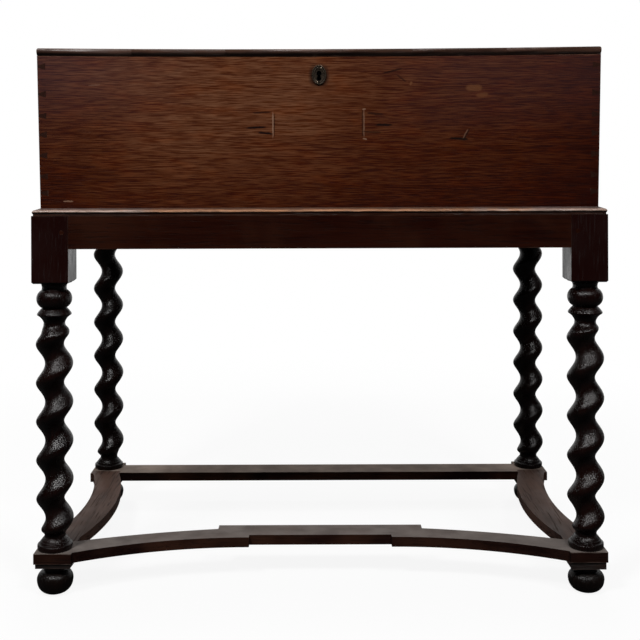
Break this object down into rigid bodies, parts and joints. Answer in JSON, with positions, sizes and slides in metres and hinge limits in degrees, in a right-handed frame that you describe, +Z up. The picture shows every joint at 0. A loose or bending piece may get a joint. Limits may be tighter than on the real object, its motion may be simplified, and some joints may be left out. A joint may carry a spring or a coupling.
{
  "type": "bible box on stand",
  "caption": "Dovetailed oak box with a hinged lid and lock, sitting on a joined stand with barley-twist legs, shaped flat stretchers and bun feet.",
  "frame": {"origin": "middle of the footprint on the floor, under the feet", "axes": "+X to the right along the front, +Y to the back, +Z up; the front with the keyhole faces -Y"},
  "size_m": [0.78, 0.43, 0.7453],
  "materials": {
    "box_oak": "old waxed, mid brown",
    "lid_oak": "old waxed, worn edges",
    "bottom_oak": "dry, unpolished",
    "stand_rail_oak": "dark waxed",
    "moulding_oak": "dark, worn nosing",
    "turned_oak": "near-black, glossy wax",
    "stretcher_oak": "dusty, scuffed top",
    "aged_brass": "dark patina",
    "iron": "dull, hand-forged"
  },
  "bodies": {
    "stand": {"leg_front_left": "turned_oak", "leg_front_right": "turned_oak", "leg_back_left": "turned_oak", "leg_back_right": "turned_oak", "pad_front_left": "stretcher_oak", "pad_front_right": "stretcher_oak", "pad_back_left": "stretcher_oak", "pad_back_right": "stretcher_oak", "foot_front_left": "turned_oak", "foot_front_right": "turned_oak", "foot_back_left": "turned_oak", "foot_back_right": "turned_oak", "rail_front": "stand_rail_oak", "rail_back": "stand_rail_oak", "rail_left": "stand_rail_oak", "rail_right": "stand_rail_oak", "rail_pegs": "stand_rail_oak", "moulding_front": "moulding_oak", "moulding_back": "moulding_oak", "moulding_left": "moulding_oak", "moulding_right": "moulding_oak", "stretcher_front": "stretcher_oak", "stretcher_back": "stretcher_oak", "stretcher_left": "stretcher_oak", "stretcher_right": "stretcher_oak"},
    "box": {"box_front": "box_oak", "box_back": "box_oak", "box_end_left": "box_oak", "box_end_right": "box_oak", "box_bottom": "bottom_oak", "bottom_nails": "iron", "escutcheon": "aged_brass", "escutcheon_pins": "aged_brass", "lock_plate": "iron", "lock_cap": "iron", "key_pin": "iron", "lock_screws": "iron", "hinge_box_leaf_left": "iron", "hinge_box_leaf_right": "iron", "hinge_pin_left": "iron", "hinge_pin_right": "iron", "hinge_box_screws": "iron"},
    "lid": {"lid_board": "lid_oak", "hinge_lid_leaf_left": "iron", "hinge_lid_leaf_right": "iron", "hinge_lid_screws": "iron", "link_plate": "iron", "link_screws": "iron"},
    "bolt": {"lock_bolt": "iron"}
  },
  "joints": [
    {"name": "box_lift", "type": "slide", "parent": "stand", "child": "box", "axis": [0, 0, 1], "range_m": [0, 0.15]},
    {"name": "lid_hinge", "type": "hinge", "parent": "box", "child": "lid", "pos_m": [0, 0.2025, 0.73515], "axis": [-1, 0, 0], "range_deg": [0, 104]},
    {"name": "lock_bolt_slide", "type": "slide", "parent": "box", "child": "bolt", "axis": [1, 0, 0], "range_m": [0, 0.01]}
  ]
}
